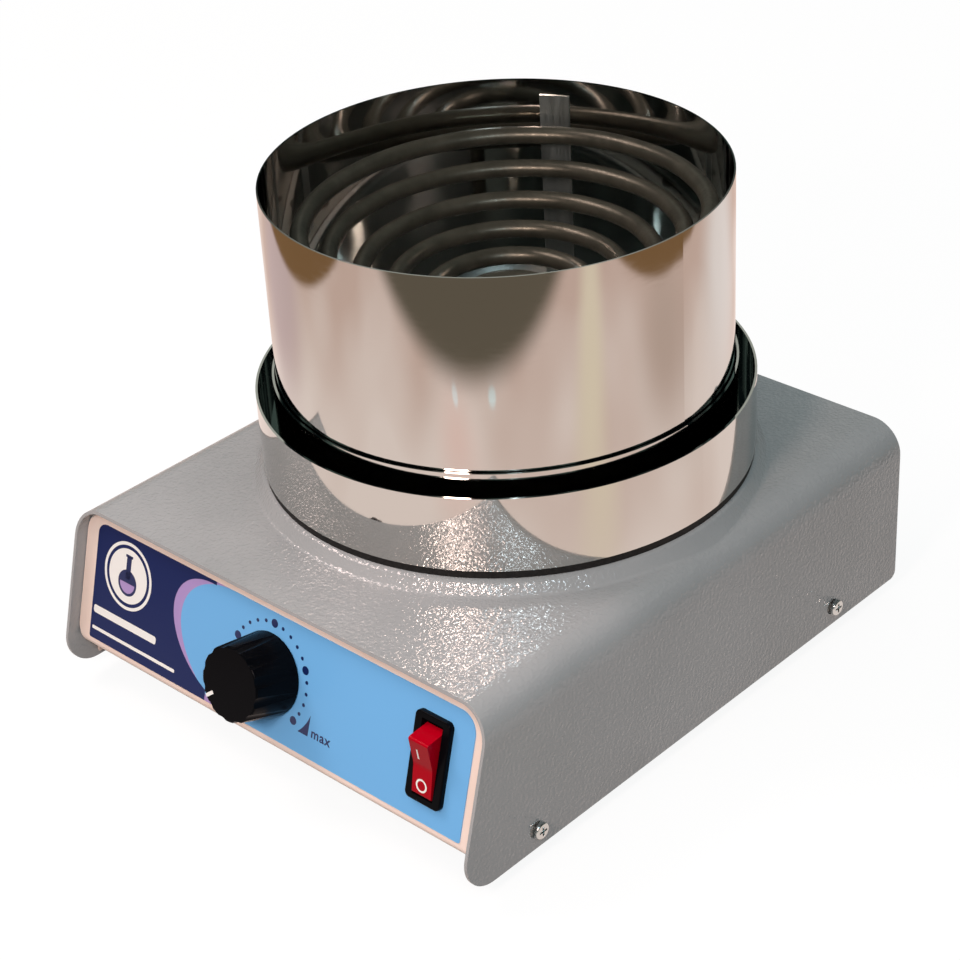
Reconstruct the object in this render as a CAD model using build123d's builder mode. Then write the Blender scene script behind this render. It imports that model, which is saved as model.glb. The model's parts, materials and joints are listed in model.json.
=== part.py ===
from build123d import *
import math
import os

os.makedirs("parts", exist_ok=True)

# A bench heating mantle for round flasks. A bent, painted sheet cover sits over a tray that
# carries the sloping control panel. On the cover stands the heater: two polished rings and a
# tall polished shield round a spiral tubular element wound on a bowl.
# Millimetres, +Z up, +Y to the back. The origin is on the bench, under the middle of the case.

# ---------------------------------------------------------------- driving dimensions
# Case
case_width = 200.0  # over the side plates
case_depth = 240.0  # along the foot of the side plates
case_height = 65.0  # side plate, from its lower edge to the top
case_lift = 6.0  # lower edge of the side plates above the bench
front_rake = 16.0  # lean of the front, degrees
sheet = 1.2  # steel sheet of the cover and the tray
cover_bend = 12.0  # outside radius of the cover's two long bends
cover_front_corner = 12.0  # lower front corner of a side plate
cover_rear_corner = 3.0  # lower rear corner of a side plate
sliding_clearance = 0.3  # between the tray and the cover

# Raised seat pressed into the top of the cover
seat_height = 4.8
seat_edge_width = 3.5  # sloping edge of the seat, seen from above
seat_edge_round = 2.4
seat_root_round = 2.0
seat_root = 4.0  # the slope runs this far down into the two long bends
seat_margin = 1.0  # seat round the insulating board
seat_opening_inset = 12.0  # opening inside the circle of the stack screws

# Tray with the control panel and the rear panel
panel_setback = 4.8  # panel face behind the cover's front edge
rear_setback = 0.2  # rear panel face inside the cover's rear edge
tray_floor_height = 12.4  # top of the floor above the side plates' lower edge
tray_flange_drop = 10.0
tray_fold = 2.5  # outside radius of the folds
panel_foot_corner = 8.0
panel_top_gap = 0.5
vent_length = 34.0
vent_width = 4.0
vent_pitch = 9.0
vents_per_row = 7
vent_row_offset = 46.0

# Printed label on the panel
label_side_margin = 7.8  # label inside the sides of the case
label_height = 44.6
label_thickness = 0.3
label_foot = 16.0  # lower edge, along the panel from the foot line of the side plates
label_left_corner = 4.0
label_right_corner = 7.0
label_foot_corner = 0.8
hole_clearance = 0.3

# Energy regulator and its knob
knob_height_on_panel = 38.5  # axis, along the panel from the foot line of the side plates
knob_base_radius = 14.8
knob_face_radius = 13.3
knob_face_height = 18.4  # face above the panel
knob_lift = 0.5  # skirt above the label
knob_flutes = 12
flute_radius = 4.2
flute_depth = 0.75
knob_edge_round = 0.7
knob_recess_radius = 10.6
knob_recess_depth = 5.2
pointer_angle = 218.0  # degrees, from the panel's right, counter-clockwise
pointer_inner = 9.2
pointer_width = 1.5
pointer_depth = 0.3
shaft_radius = 3.0
shaft_flat = 0.8  # depth of the flat on the shaft
shaft_grip = 10.0  # length of shaft inside the knob
shaft_running_clearance = 0.05
regulator_width = 33.0
regulator_height = 34.0
regulator_depth = 22.0
regulator_corner = 3.0
bush_radius = 4.75
bush_length = 6.4
bush_nut_flats = 13.0
bush_nut_height = 2.2
washer_thickness = 0.5
washer_radius = 8.2
tab_width = 6.3
tab_thickness = 0.8
tab_length = 9.0

# Rocker switch
switch_side_margin = 24.2  # switch axis inside the side of the case
switch_height_on_panel = 39.1
bezel_width = 15.4
bezel_length = 31.2
bezel_thickness = 2.0
bezel_corner = 2.2
switch_body_width = 13.0
switch_body_length = 28.4
switch_body_depth = 19.0
rocker_width = 8.4
rocker_half_length = 10.9
rocker_waist_height = 7.3  # waist of the rocker above its pivot
rocker_face_angle = 9.0  # each half face rises by this from the waist
rocker_tilt = 15.0  # degrees from the middle to off or on
rocker_pivot_depth = 3.2  # pivot behind the panel face
rocker_side_clearance = 0.35
rocker_end_clearance = 0.5
rocker_skirt = 0.8  # the skirt reaches past the ridges
rocker_ridge_round = 0.8
rocker_waist_round = 6.0
rocker_well_depth = 9.5
pivot_radius = 1.2
pivot_length = 0.7
pivot_clearance = 0.05

# Heater stack, from the seat upwards
heater_setback = 18.3  # heater axis behind the middle of the case
board_side_margin = 11.7  # board inside the sides of the case
board_thickness = 3.0
ring_overhang = 0.5  # outer ring past the board
ring_wall = 0.8
ring_height = 28.0
ring_flange_inset = 7.0  # flange ends inside the circle of the stack screws
ring_gap = 5.6  # between the outer ring and the pan
pan_wall = 0.8
pan_height = 32.8
shield_clearance = 0.5  # between the pan and the tall shield inside it
shield_wall = 0.6
shield_height = 102.5
strap_angle = 117.0  # seam of the shield, degrees from +X
strap_width = 11.2
strap_thickness = 0.6
strap_top_gap = 6.0
strap_foot_gap = 17.0
strap_seat = 0.05
pad_clearance = 0.7
pad_thickness = 13.0
reflector_wall = 0.8
reflector_rim = 3.0
reflector_rim_round = 2.0

# Tubular element, wound at an even pitch on a bowl
tube_radius = 3.25
reflector_leg_gap = 0.54  # between the reflector's rim and the outer turn
bowl_radius = 92.4
bowl_bottom_height = 52.0  # lowest turn above the pan floor
coil_wall_gap = 2.96  # between the outer turn and the tall shield
coil_inner_length = 10.54  # along the bowl, from its bottom to the inner end
coil_distance = 12.84  # from turn to turn, along the bowl
coil_start_angle = -45.5
coil_points_per_turn = 12
coil_roundness = 0.9  # share of each corner that is rounded
outer_leg_bend = 11.0
inner_leg_bend = 9.0
leg_straight = 1.0  # straight run between the last turn and the bend into the leg
leg_drop = 22.0  # legs below the top of the case
gland_radius = 4.0
gland_collar_radius = 4.6
gland_flats = 12.0
gland_head = 3.0
gland_length = 16.0
gland_nut_height = 4.5
gland_bore_clearance = 0.1
pin_radius = 1.6
pin_length = 7.0

# Screws that hold the stack together, and the baffle below it
stack_screw_inset = 12.4  # circle of the screws inside the pan
stack_screws = 4
m4_radius = 2.0
m4_head_radius = 4.0
m4_head_height = 2.4
m4_clearance = 0.25
m4_nut_flats = 7.0
m4_nut_height = 3.2
spacer_radius = 4.0
spacer_length = 12.0
baffle_margin = 10.0  # baffle outside the circle of the screws
baffle_thickness = 1.0
thread_end = 1.5  # screw standing out of its nut

# Cover screws
m3_radius = 1.5
m3_head_radius = 3.0
m3_head_height = 1.9
m3_length = 7.0
cross_length = 3.6  # recess in the heads of the cover screws
cross_width = 0.8
cross_depth = 1.1
cover_screw_height = 7.0  # above the lower edge of the side plates
cover_screw_front_margin = 38.0  # behind the front end of the case
cover_screw_rear_margin = 39.0  # ahead of the rear end of the case
cover_hole_radius = 3.1
cover_hole_shift = 1.3

# Feet
foot_side_margin = 22.0  # foot axis inside the side of the case
foot_front_margin = 40.0
foot_rear_margin = 24.0
foot_top_radius = 9.0
foot_sole_radius = 7.5
foot_recess_radius = 4.6
foot_recess_depth = 9.0

# Mains inlet on the rear panel
inlet_side_margin = 40.0  # axis inside the side of the case
inlet_height = 36.0  # axis above the side plates' lower edge
inlet_flange_width = 50.0
inlet_flange_height = 24.0
inlet_flange_thickness = 4.1
inlet_flange_round = 5.0
inlet_body_width = 27.0
inlet_body_height = 19.6
inlet_body_depth = 20.0
inlet_body_chamfer = 4.6
inlet_socket_width = 24.2
inlet_socket_height = 16.4
inlet_socket_chamfer = 4.0
inlet_socket_depth = 17.0
inlet_screw_pitch = 40.0
blade_width = 2.0
blade_height = 4.0
blade_length = 14.0
blade_spread = 7.0
earth_blade_rise = 3.6
blade_tail = 9.0

# Terminal block and earth screw on the tray floor
block_side_margin = 50.0  # inside the side of the case
block_rear_margin = 68.0
block_corner = 1.5
block_poles = 3
block_pole_pitch = 12.0
block_depth = 22.0
block_height = 17.0
block_bore_radius = 2.6
block_screw_radius = 2.2
block_screw_depth = 6.0
block_screw_sink = 1.0  # screw heads below the top of the block
earth_side_margin = 40.0
earth_rear_margin = 90.0
earth_length = 12.0

# ---------------------------------------------------------------- derived levels and planes
case_foot = case_lift
case_top = case_foot + case_height
inner_half_width = case_width / 2 - sheet
tray_half_width = inner_half_width - sliding_clearance
floor_top = case_foot + tray_floor_height
floor_under = floor_top - sheet
rake_run = math.tan(math.radians(front_rake))
rake_cos = math.cos(math.radians(front_rake))
rake_sin = math.sin(math.radians(front_rake))
panel_plane = Plane(
    origin=(0, -case_depth / 2 + panel_setback, case_foot),
    x_dir=(1, 0, 0),
    z_dir=(0, -rake_cos, rake_sin),
)
panel_top = (case_height - sheet - panel_top_gap) / rake_cos
panel_foot = (floor_under - case_foot) / rake_cos
rear_face = case_depth / 2 - rear_setback
rear_plane = Plane(origin=(0, rear_face, case_foot), x_dir=(-1, 0, 0), z_dir=(0, 1, 0))

switch_x = case_width / 2 - switch_side_margin
label_width = case_width - 2 * label_side_margin
inlet_x = case_width / 2 - inlet_side_margin
block_x = case_width / 2 - block_side_margin
block_y = case_depth / 2 - block_rear_margin
earth_x = earth_side_margin - case_width / 2
earth_y = case_depth / 2 - earth_rear_margin

# the heater's rings follow the width of the case
board_radius = case_width / 2 - board_side_margin
ring_radius = board_radius + ring_overhang
pan_radius = ring_radius - ring_wall - ring_gap
stack_screw_circle = pan_radius - stack_screw_inset
seat_opening_radius = stack_screw_circle - seat_opening_inset
ring_flange_inner = stack_screw_circle - ring_flange_inset
baffle_radius = stack_screw_circle + baffle_margin
seat_top = case_top + seat_height
seat_radius = board_radius + seat_margin
seat_foot_radius = seat_radius + seat_edge_width
board_top = seat_top + board_thickness
flange_top = board_top + ring_wall
pan_floor = flange_top + pan_wall
pan_bore = pan_radius - pan_wall
shield_radius = pan_bore - shield_clearance
shield_bore = shield_radius - shield_wall
pad_radius = shield_bore - pad_clearance
pad_top = pan_floor + pad_thickness
reflector_top = pad_top + reflector_wall

coil_outer_reach = shield_bore - coil_wall_gap - tube_radius
coil_outer_length = bowl_radius * math.asin(coil_outer_reach / bowl_radius)
coil_turns = (coil_outer_length - coil_inner_length) / coil_distance
coil_bottom = pan_floor + bowl_bottom_height
reflector_radius = coil_outer_reach - tube_radius - reflector_leg_gap
leg_end = case_top - leg_drop
baffle_top = seat_top - sheet - spacer_length
baffle_under = baffle_top - baffle_thickness


def heater_plane(height):
    """Horizontal plane on the heater axis."""
    return Plane.XY.offset(height).move(Location((0, heater_setback, 0)))


def placed(plane, at=(0, 0, 0), turn=(0, 0, 0)):
    """The plane, moved and turned in its own axes."""
    return Plane(plane.location * Location(at, turn))


def panel_at(x, along, out=0.0):
    """Plane parallel to the panel, centred on a point of it."""
    return placed(panel_plane, (x, along, out))


def save(builder, name):
    builder.part.label = name
    export_step(builder.part, f"parts/{name}.step")


def coil_reach(turn):
    """Radius of the tube's centre line after so many turns, as it lies on the bowl."""
    return bowl_radius * math.sin((coil_outer_length - coil_distance * turn) / bowl_radius)


def coil_corner(turn):
    """Corner of the path whose rounded corners make up the spiral."""
    lean = (coil_outer_length - coil_distance * turn) / bowl_radius
    angle = math.radians(coil_start_angle + 360 * turn)
    reach = coil_reach(turn) / math.cos(math.pi / coil_points_per_turn)
    return Vector(
        reach * math.cos(angle),
        heater_setback + reach * math.sin(angle),
        coil_bottom + bowl_radius * (1 - math.cos(lean)),
    )


coil_steps = round(coil_turns * coil_points_per_turn)
coil_turn_marks = [k / coil_points_per_turn for k in range(coil_steps + 1)]
coil_track = [coil_corner(turn) for turn in coil_turn_marks]
outer_run = coil_track[0] - coil_track[1]
inner_run = coil_track[-1] - coil_track[-2]
outer_back = Vector(outer_run.X, outer_run.Y, 0).rotate(Axis.Z, -360 / coil_points_per_turn)
inner_on = Vector(inner_run.X, inner_run.Y, 0).rotate(Axis.Z, 360 / coil_points_per_turn)
outer_reach = coil_roundness / 2 * outer_back.length + outer_leg_bend + leg_straight
inner_reach = coil_roundness / 2 * inner_on.length + inner_leg_bend + leg_straight
outer_leg = coil_track[0] + outer_back.normalized() * outer_reach
inner_leg = coil_track[-1] + inner_on.normalized() * inner_reach
leg_points = [(outer_leg.X, outer_leg.Y), (inner_leg.X, inner_leg.Y)]
leg_seats = [seat_top - sheet, seat_top]  # underside of what each gland nut pulls on

stack_points = [
    (
        stack_screw_circle * math.cos(math.radians(360 / stack_screws * k)),
        heater_setback + stack_screw_circle * math.sin(math.radians(360 / stack_screws * k)),
    )
    for k in range(stack_screws)
]
foot_x = case_width / 2 - foot_side_margin
foot_front = foot_front_margin - case_depth / 2
foot_rear = case_depth / 2 - foot_rear_margin
foot_points = [(x, y) for x in (-foot_x, foot_x) for y in (foot_front, foot_rear)]
cover_screw_ys = (cover_screw_front_margin - case_depth / 2, case_depth / 2 - cover_screw_rear_margin)

# ---------------------------------------------------------------- cover
seat_slope = math.degrees(math.atan2(seat_edge_width, seat_height))
seat_root_radius = seat_foot_radius + seat_root * seat_edge_width / seat_height
slope_offset = sheet / math.cos(math.radians(seat_slope)) - sheet * math.tan(math.radians(seat_slope))

# space inside the cover, taken out of its solid form
with BuildPart() as cover_space:
    with BuildSketch(Plane.XZ) as inner_profile:
        with Locations((0, case_foot - sheet)):
            Rectangle(2 * inner_half_width, case_height, align=(Align.CENTER, Align.MIN))
        fillet(inner_profile.vertices().group_by(Axis.Y)[-1], cover_bend - sheet)
    extrude(amount=case_depth, both=True)
    with BuildSketch(heater_plane(case_top - seat_root - sheet)):
        Circle(seat_root_radius - slope_offset)
    extrude(amount=seat_height + seat_root, taper=seat_slope)
    fillet(cover_space.faces().sort_by(Axis.Z)[-1].edges(), seat_edge_round - sheet)

with BuildPart() as cover:
    with BuildSketch(Plane.XZ) as outer_profile:
        with Locations((0, case_foot)):
            Rectangle(case_width, case_height, align=(Align.CENTER, Align.MIN))
        fillet(outer_profile.vertices().group_by(Axis.Y)[-1], cover_bend)
    extrude(amount=case_depth, both=True)
    with BuildSketch(heater_plane(case_top - seat_root)):
        Circle(seat_root_radius)
    extrude(amount=seat_height + seat_root, taper=seat_slope)
    seat_root_edges = cover.edges(Select.NEW)
    fillet(seat_root_edges, seat_root_round)
    fillet(cover.faces().sort_by(Axis.Z)[-1].edges(), seat_edge_round)
    with BuildSketch(Plane.YZ) as side_outline:
        with BuildLine():
            Polyline(
                (-case_depth / 2, case_foot),
                (case_depth / 2, case_foot),
                (case_depth / 2, seat_top),
                (-case_depth / 2 + (case_height + seat_height) * rake_run, seat_top),
                close=True,
            )
        make_face()
        fillet(
            side_outline.vertices().group_by(Axis.Y)[0].sort_by(Axis.X)[0], cover_front_corner
        )
        fillet(
            side_outline.vertices().group_by(Axis.Y)[0].sort_by(Axis.X)[-1], cover_rear_corner
        )
    extrude(amount=case_width / 2, both=True, mode=Mode.INTERSECT)
    add(cover_space.part, mode=Mode.SUBTRACT)
    with BuildSketch(heater_plane(seat_top)):
        Circle(seat_opening_radius)
        with Locations([(x, y - heater_setback) for x, y in stack_points]):
            Circle(m4_radius + m4_clearance)
        with Locations((outer_leg.X, outer_leg.Y - heater_setback)):
            Circle(gland_radius + m4_clearance)
    extrude(amount=-2 * sheet, mode=Mode.SUBTRACT)
    # cover screw holes, larger than the screws so that the cover can be set square
    with BuildSketch(Plane.YZ):
        with Locations(
            [
                (y - cover_hole_shift, case_foot + cover_screw_height + cover_hole_shift / 2)
                for y in cover_screw_ys
            ]
        ):
            Circle(cover_hole_radius)
    extrude(amount=case_width, both=True, mode=Mode.SUBTRACT)
save(cover, "cover")

# ---------------------------------------------------------------- tray with both panels
with BuildPart() as chassis:
    with BuildSketch(Plane.YZ):
        with BuildLine():
            panel_head = panel_plane.from_local_coords((0, panel_top, 0))
            panel_root = panel_plane.from_local_coords((0, panel_foot, 0))
            FilletPolyline(
                (panel_head.Y, panel_head.Z),
                (panel_root.Y, panel_root.Z),
                (rear_face, floor_under),
                (rear_face, case_top - sheet - panel_top_gap),
                radius=tray_fold,
            )
            offset(amount=sheet, side=Side.LEFT)
        make_face()
    extrude(amount=tray_half_width, both=True)
    flange_front = panel_root.Y + panel_foot_corner
    flange_length = rear_face - panel_foot_corner - flange_front
    for side in (-1, 1):
        with Locations((side * tray_half_width, flange_front, floor_top)):
            Box(
                sheet,
                flange_length,
                tray_flange_drop,
                align=(Align.MAX if side > 0 else Align.MIN, Align.MIN, Align.MAX),
            )
    # rounded corners of the front and rear panels
    panel_corner = cover_bend - sheet - sliding_clearance
    for plane, foot, head in (
        (panel_plane, panel_foot, panel_top),
        (rear_plane, floor_under - case_foot, case_height - sheet - panel_top_gap),
    ):
        with BuildSketch(plane):
            with Locations((0, foot)):
                Rectangle(3 * case_width, head - foot + 2 * panel_corner, align=(Align.CENTER, Align.MIN))
            with BuildSketch(mode=Mode.SUBTRACT):
                with Locations((0, foot)):
                    Rectangle(2 * tray_half_width, head - foot, align=(Align.CENTER, Align.MIN))
                fillet(vertices().group_by(Axis.Y)[-1], panel_corner)
                fillet(vertices().group_by(Axis.Y)[0], panel_foot_corner)
                with Locations((0, head)):
                    Rectangle(case_width, 2 * panel_corner, align=(Align.CENTER, Align.MIN))
        extrude(amount=3 * sheet, both=True, mode=Mode.SUBTRACT)
    # openings for the regulator and the switch
    with BuildSketch(panel_at(0, knob_height_on_panel)):
        Circle(bush_radius + hole_clearance)
        with Locations((switch_x, switch_height_on_panel - knob_height_on_panel)):
            Rectangle(
                switch_body_width + 2 * hole_clearance,
                switch_body_length + 2 * hole_clearance,
            )
    extrude(amount=2 * sheet, both=True, mode=Mode.SUBTRACT)
    # opening for the mains inlet
    with BuildSketch(rear_plane):
        with Locations((inlet_x, inlet_height)):
            Rectangle(
                inlet_body_width + 2 * hole_clearance,
                inlet_body_height + 2 * hole_clearance,
            )
        with Locations((inlet_x, inlet_height)):
            with GridLocations(inlet_screw_pitch, 0, 2, 1):
                Circle(m3_radius + m4_clearance)
    extrude(amount=2 * sheet, both=True, mode=Mode.SUBTRACT)
    # holes in the floor
    with BuildSketch(Plane.XY.offset(floor_top)):
        with Locations(foot_points):
            Circle(m4_radius + m4_clearance)
        with Locations((earth_x, earth_y)):
            Circle(m4_radius + m4_clearance)
        with Locations((0, -vent_row_offset), (0, vent_row_offset)):
            with GridLocations(vent_pitch, 0, vents_per_row, 1):
                SlotOverall(vent_length, vent_width, rotation=90)
    extrude(amount=-2 * sheet, mode=Mode.SUBTRACT)
    # tapped holes for the cover screws
    with BuildSketch(Plane.YZ):
        with Locations([(y, case_foot + cover_screw_height) for y in cover_screw_ys]):
            Circle(m3_radius + shaft_running_clearance)
    extrude(amount=case_width, both=True, mode=Mode.SUBTRACT)
save(chassis, "chassis")

# ---------------------------------------------------------------- printed label
with BuildPart() as panel_label:
    with BuildSketch(panel_plane) as label_outline:
        with Locations((0, label_foot)):
            Rectangle(label_width, label_height, align=(Align.CENTER, Align.MIN))
        head_corners = label_outline.vertices().group_by(Axis.Y)[-1].sort_by(Axis.X)
        fillet(head_corners[0], label_left_corner)
        fillet(label_outline.vertices().group_by(Axis.Y)[-1].sort_by(Axis.X)[-1], label_right_corner)
        fillet(label_outline.vertices().group_by(Axis.Y)[0], label_foot_corner)
        with Locations((0, knob_height_on_panel)):
            Circle(washer_radius + hole_clearance, mode=Mode.SUBTRACT)
        with Locations((switch_x, switch_height_on_panel)):
            Rectangle(
                switch_body_width + 2 * hole_clearance,
                switch_body_length + 2 * hole_clearance,
                mode=Mode.SUBTRACT,
            )
    extrude(amount=label_thickness)
save(panel_label, "panel_label")

# ---------------------------------------------------------------- knob and regulator
knob_base = label_thickness + knob_lift
knob_rise = knob_face_height - knob_base
knob_face_plane = panel_at(0, knob_height_on_panel, knob_face_height)
with BuildPart() as knob:
    with BuildSketch(panel_at(0, knob_height_on_panel, knob_base)):
        Circle(knob_base_radius)
    with BuildSketch(panel_at(0, knob_height_on_panel, knob_face_height)):
        Circle(knob_face_radius)
    loft()
    knob_face = knob.faces().sort_by(Axis(knob.part.center(), panel_plane.z_dir))[-1]
    fillet(knob_face.edges(), knob_edge_round)
    # flutes that run out above the skirt's foot
    flute_reach = knob_face_radius + flute_radius - flute_depth
    flute_lean = math.degrees(math.atan2(flute_depth + knob_base_radius - knob_face_radius, knob_rise))
    for k in range(knob_flutes):
        turn = 360 / knob_flutes * (k + 0.5) + pointer_angle
        flute_side = placed(knob_face_plane, turn=(0, 0, turn))
        with BuildSketch(placed(flute_side, (flute_reach, 0, 0), (0, -flute_lean, 0))):
            Circle(flute_radius)
        extrude(amount=1.2 * knob_rise, both=True, mode=Mode.SUBTRACT)
    # recess over the nut, and the bore for the shaft
    with BuildSketch(panel_at(0, knob_height_on_panel, knob_base)):
        Circle(knob_recess_radius)
    extrude(amount=knob_recess_depth, mode=Mode.SUBTRACT)
    with BuildSketch(panel_at(0, knob_height_on_panel, knob_base)) as shaft_bore:
        Circle(shaft_radius + shaft_running_clearance)
        with Locations((shaft_radius + shaft_running_clearance - shaft_flat, 0)):
            Rectangle(
                2 * shaft_radius,
                4 * shaft_radius,
                align=(Align.MIN, Align.CENTER),
                mode=Mode.SUBTRACT,
            )
    extrude(amount=knob_recess_depth + shaft_grip, mode=Mode.SUBTRACT)
    # groove of the pointer line
    with BuildSketch(placed(knob_face_plane, turn=(0, 0, pointer_angle))):
        with Locations((pointer_inner, 0)):
            Rectangle(knob_base_radius, pointer_width, align=(Align.MIN, Align.CENTER))
    extrude(amount=-pointer_depth, mode=Mode.SUBTRACT)
save(knob, "knob")

shaft_tip = knob_base + knob_recess_depth + shaft_grip - hole_clearance
bush_tip = bush_length - sheet
with BuildPart() as regulator_shaft:
    with BuildSketch(panel_at(0, knob_height_on_panel, -sheet - regulator_depth / 2)):
        Circle(shaft_radius)
    extrude(amount=sheet + regulator_depth / 2 + shaft_tip)
    with BuildSketch(panel_at(0, knob_height_on_panel, bush_tip + knob_lift)):
        with Locations((shaft_radius - shaft_flat, 0)):
            Rectangle(2 * shaft_radius, 4 * shaft_radius, align=(Align.MIN, Align.CENTER))
    extrude(amount=shaft_tip, mode=Mode.SUBTRACT)
save(regulator_shaft, "regulator_shaft")

with BuildPart() as regulator_body:
    with BuildSketch(panel_at(0, knob_height_on_panel, -sheet)):
        RectangleRounded(regulator_width, regulator_height, regulator_corner)
    extrude(amount=-regulator_depth)
    with BuildSketch(panel_at(0, knob_height_on_panel, -sheet)):
        Circle(bush_radius)
    extrude(amount=bush_length)
    with BuildSketch(panel_at(0, knob_height_on_panel, bush_tip)):
        Circle(shaft_radius + shaft_running_clearance)
    extrude(amount=-(bush_length + regulator_depth / 2 + hole_clearance), mode=Mode.SUBTRACT)
    with BuildSketch(panel_at(0, knob_height_on_panel, -sheet - regulator_depth)):
        with GridLocations(0.6 * regulator_width, 0.5 * regulator_height, 2, 2):
            Rectangle(tab_thickness, tab_width)
    extrude(amount=-tab_length)
save(regulator_body, "regulator_body")

with BuildPart() as regulator_washer:
    with BuildSketch(panel_at(0, knob_height_on_panel)):
        Circle(washer_radius)
        Circle(bush_radius + m4_clearance, mode=Mode.SUBTRACT)
    extrude(amount=washer_thickness)
save(regulator_washer, "regulator_washer")

with BuildPart() as regulator_nut:
    with BuildSketch(panel_at(0, knob_height_on_panel, washer_thickness)):
        RegularPolygon(bush_nut_flats / 2, 6, major_radius=False)
        Circle(bush_radius + shaft_running_clearance, mode=Mode.SUBTRACT)
    extrude(amount=bush_nut_height)
save(regulator_nut, "regulator_nut")

# ---------------------------------------------------------------- rocker switch
rocker_end_height = rocker_waist_height + rocker_half_length * math.tan(
    math.radians(rocker_face_angle)
)
well_width = rocker_width + 2 * rocker_side_clearance
well_length = 2 * (
    rocker_half_length * math.cos(math.radians(rocker_tilt))
    + rocker_end_height * math.sin(math.radians(rocker_tilt))
    + rocker_end_clearance
)
pivot_origin = panel_plane.from_local_coords((switch_x, switch_height_on_panel, -rocker_pivot_depth))
with BuildPart() as switch_body:
    with BuildSketch(panel_at(switch_x, switch_height_on_panel, label_thickness)):
        RectangleRounded(bezel_width, bezel_length, bezel_corner)
    extrude(amount=bezel_thickness)
    bezel_rim = switch_body.faces().sort_by(Axis(pivot_origin, panel_plane.z_dir))[-1]
    fillet(bezel_rim.edges(), 0.5)
    with BuildSketch(panel_at(switch_x, switch_height_on_panel, label_thickness)):
        Rectangle(switch_body_width, switch_body_length)
    extrude(amount=-switch_body_depth)
    with BuildSketch(panel_at(switch_x, switch_height_on_panel, label_thickness + bezel_thickness)):
        Rectangle(well_width, well_length)
    extrude(amount=-(bezel_thickness + rocker_well_depth), mode=Mode.SUBTRACT)
    with BuildSketch(Plane(origin=pivot_origin, x_dir=(0, 0, 1), z_dir=(1, 0, 0))):
        Circle(pivot_radius + pivot_clearance)
    extrude(amount=well_width / 2 + pivot_length, both=True, mode=Mode.SUBTRACT)
save(switch_body, "switch_body")

with BuildPart() as switch_tabs:
    with BuildSketch(panel_at(switch_x, switch_height_on_panel, label_thickness - switch_body_depth)):
        with GridLocations(0, switch_body_length / 3, 1, 3):
            Rectangle(tab_width, tab_thickness)
    extrude(amount=-tab_length)
save(switch_tabs, "switch_tabs")

# The rocker is drawn in its middle position, in the plane of its swing, then tilted to off
swing_plane = Plane(origin=pivot_origin, x_dir=(0, rake_sin, rake_cos), z_dir=(1, 0, 0))
rocker_plane = placed(swing_plane, turn=(0, 0, rocker_tilt))
rocker_skirt_length = rocker_half_length + rocker_skirt
with BuildPart() as rocker:
    with BuildSketch(rocker_plane) as rocker_side:
        with BuildLine():
            Polyline(
                (-rocker_half_length, rocker_end_height),
                (0, rocker_waist_height),
                (rocker_half_length, rocker_end_height),
                (rocker_skirt_length, 0),
                (0.4 * rocker_skirt_length, -0.5 * rocker_waist_height),
                (-0.4 * rocker_skirt_length, -0.5 * rocker_waist_height),
                (-rocker_skirt_length, 0),
                close=True,
            )
        make_face()
        ridge_corners = rocker_side.vertices().group_by(Axis.Y)[-1]
        fillet(ridge_corners, rocker_ridge_round)
        waist_corner = rocker_side.vertices().sort_by_distance((0, rocker_waist_height))[0]
        fillet(waist_corner, rocker_waist_round)
    extrude(amount=rocker_width / 2, both=True)
    with BuildSketch(swing_plane):
        Circle(pivot_radius)
    extrude(amount=rocker_width / 2 + rocker_side_clearance + pivot_length - hole_clearance, both=True)
save(rocker, "rocker")

# ---------------------------------------------------------------- heater stack
with BuildPart() as insulating_board:
    with BuildSketch(heater_plane(seat_top)):
        Circle(board_radius)
        with Locations([(x, y - heater_setback) for x, y in stack_points]):
            Circle(m4_radius + m4_clearance, mode=Mode.SUBTRACT)
        with Locations([(x, y - heater_setback) for x, y in leg_points]):
            Circle(gland_radius + m4_clearance, mode=Mode.SUBTRACT)
    extrude(amount=board_thickness)
save(insulating_board, "insulating_board")

with BuildPart() as outer_ring:
    with BuildSketch(heater_plane(board_top)):
        Circle(ring_radius)
    extrude(amount=ring_height)
    with BuildSketch(heater_plane(board_top + ring_wall)):
        Circle(ring_radius - ring_wall)
    extrude(amount=ring_height, mode=Mode.SUBTRACT)
    with BuildSketch(heater_plane(board_top)):
        Circle(ring_flange_inner)
        with Locations([(x, y - heater_setback) for x, y in stack_points]):
            Circle(m4_radius + m4_clearance)
        with Locations((outer_leg.X, outer_leg.Y - heater_setback)):
            Circle(gland_radius + m4_clearance)
    extrude(amount=2 * ring_wall, mode=Mode.SUBTRACT)
save(outer_ring, "outer_ring")

with BuildPart() as reflector_pan:
    with BuildSketch(heater_plane(flange_top)):
        Circle(pan_radius)
    extrude(amount=pan_height)
    pan_foot_edge = reflector_pan.edges().sort_by(Axis.Z)[0]
    fillet(pan_foot_edge, pan_wall)
    with BuildSketch(heater_plane(pan_floor)):
        Circle(pan_bore)
    extrude(amount=pan_height, mode=Mode.SUBTRACT)
    with BuildSketch(heater_plane(flange_top)):
        with Locations([(x, y - heater_setback) for x, y in stack_points]):
            Circle(m4_radius + m4_clearance)
        with Locations([(x, y - heater_setback) for x, y in leg_points]):
            Circle(gland_radius + m4_clearance)
    extrude(amount=2 * pan_wall, mode=Mode.SUBTRACT)
save(reflector_pan, "reflector_pan")

with BuildPart() as tall_shield:
    with BuildSketch(heater_plane(pan_floor)):
        Circle(shield_radius)
        Circle(shield_bore, mode=Mode.SUBTRACT)
    extrude(amount=shield_height)
save(tall_shield, "tall_shield")

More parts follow.
